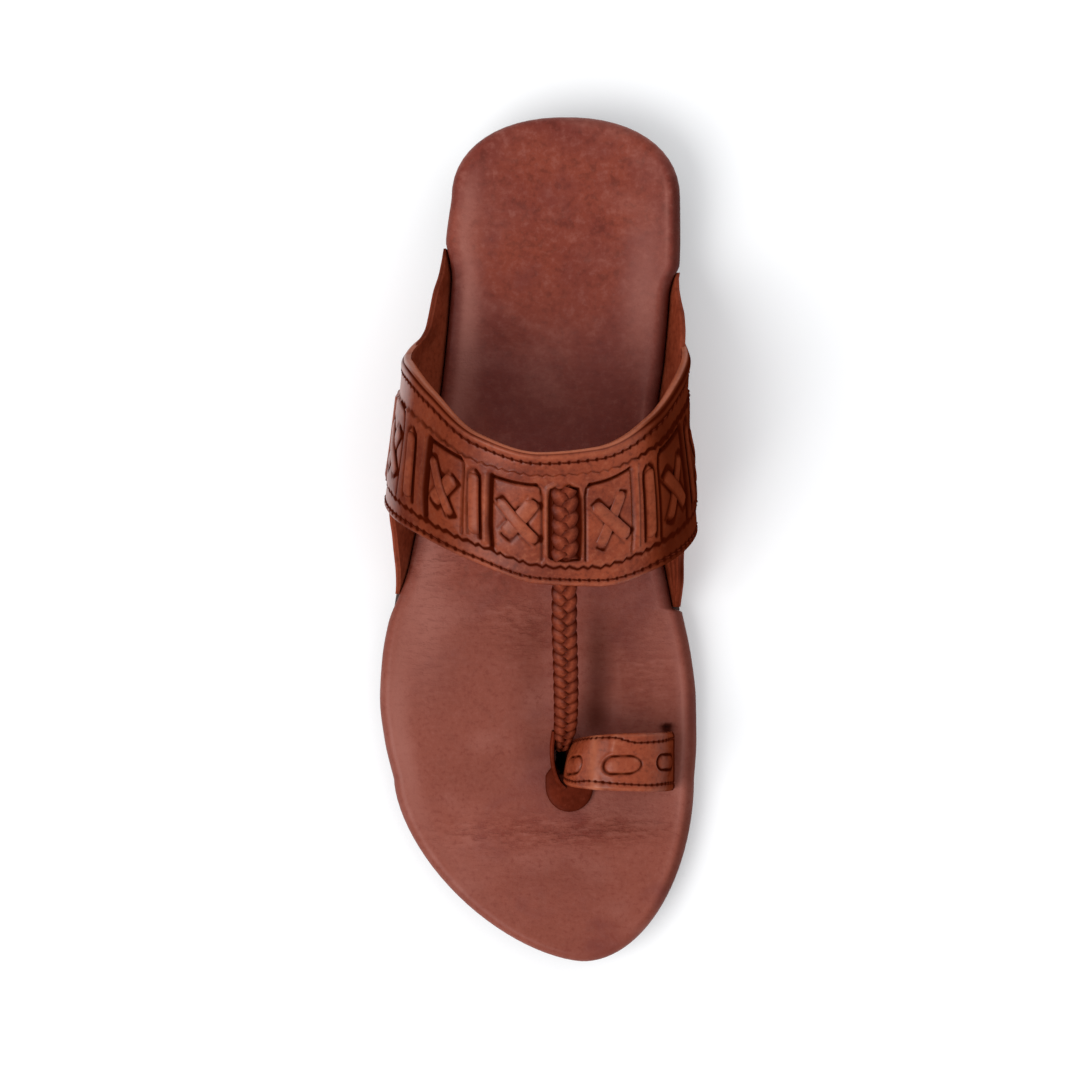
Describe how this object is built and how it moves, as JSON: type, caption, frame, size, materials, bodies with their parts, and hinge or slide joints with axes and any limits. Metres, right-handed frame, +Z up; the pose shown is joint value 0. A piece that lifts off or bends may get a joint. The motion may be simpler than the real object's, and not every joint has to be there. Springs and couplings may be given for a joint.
{
  "type": "kolhapuri sandal",
  "caption": "Flat leather slip-on sandal for the right foot, with a broad laced instep band on side ears, a plaited strap down to a toe tab, and a big-toe ring.",
  "frame": {"origin": "middle of the box round the sandal, on the floor it stands on", "axes": "+Z up, +Y towards the heel, -Y towards the toes, +X towards the big-toe side of the right foot"},
  "size_m": [0.1056, 0.2802, 0.0906],
  "materials": {
    "upper_leather": "waxed tan leather, darker in its folds",
    "footbed_leather": "smooth satin leather wrapped over a padded footbed",
    "sole": "dull dark brown",
    "heel": "dull dark brown"
  },
  "bodies": {
    "root": {"outsole": "sole", "heel_lift": "heel", "footbed": "footbed_leather", "upper": "upper_leather", "toe_ring": "upper_leather"}
  },
  "joints": []
}
